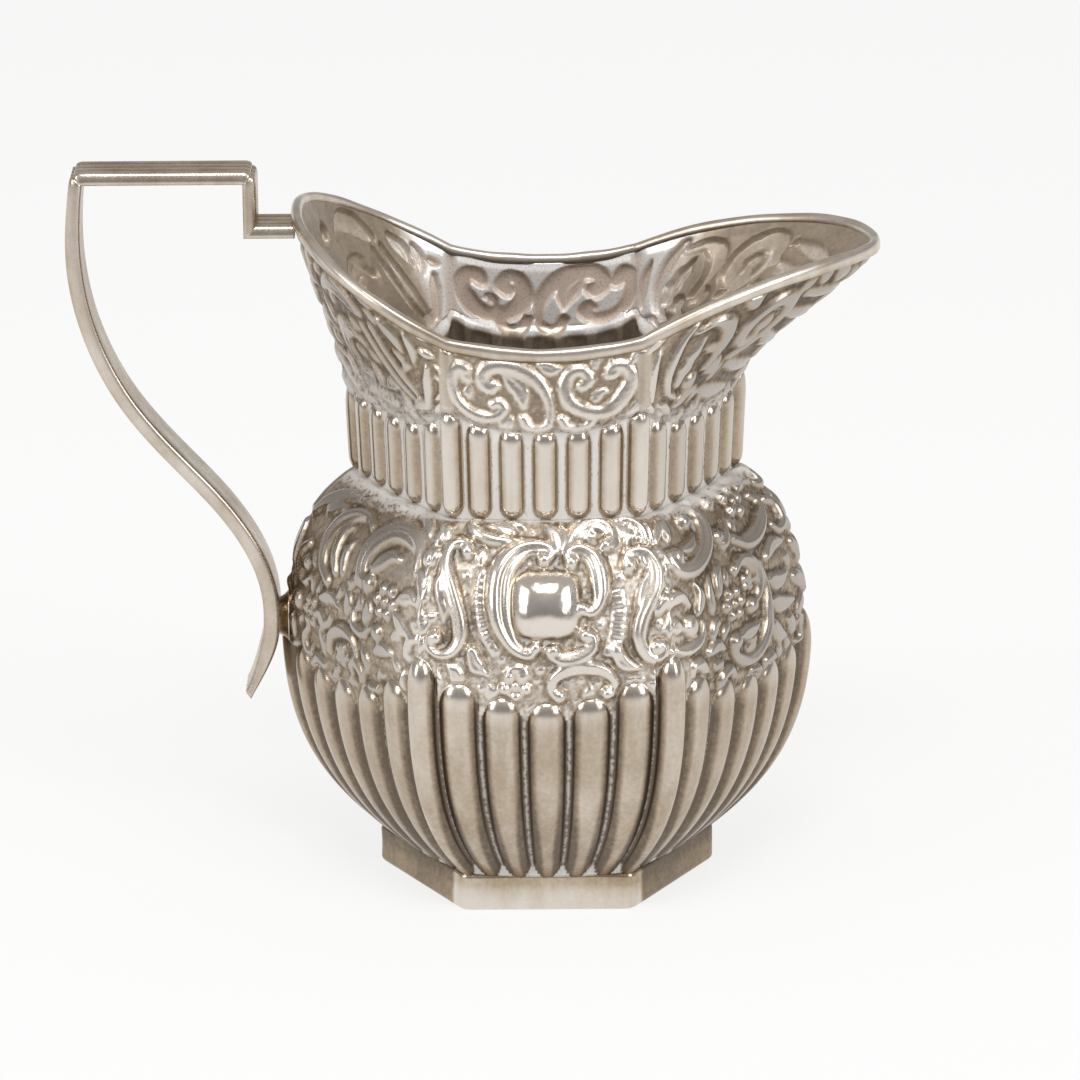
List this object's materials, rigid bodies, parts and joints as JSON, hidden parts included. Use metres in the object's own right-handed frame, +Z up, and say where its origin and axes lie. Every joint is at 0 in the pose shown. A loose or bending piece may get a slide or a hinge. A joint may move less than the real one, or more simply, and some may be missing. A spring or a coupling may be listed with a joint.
{
  "type": "creamer",
  "caption": "Small six-sided silver creamer with a fluted belly, embossed shoulder, fluted neck, flaring spouted mouth, plain foot and stepped reeded strip handle.",
  "frame": {"origin": "on the table, under the middle of the whole length from the handle to the spout", "axes": "+X towards the spout, +Z up, the flat side with the cartouche faces -Y"},
  "size_m": [0.1124, 0.0684, 0.1026],
  "materials": {
    "silver_embossed": "worn polished silver, dark oxidation and pale polish residue in the recesses",
    "silver_plain": "worn polished silver with fine scratches",
    "silver_strip": "worn polished silver, tarnish between the reeds"
  },
  "bodies": {
    "root": {"foot_collar": "silver_plain", "base_plate": "silver_plain", "bowl": "silver_embossed", "neck": "silver_embossed", "rim_wire": "silver_plain", "handle_stub": "silver_strip", "handle_riser": "silver_strip", "handle_top_bar": "silver_strip", "handle_strap": "silver_strip", "handle_lug": "silver_plain"}
  },
  "joints": []
}
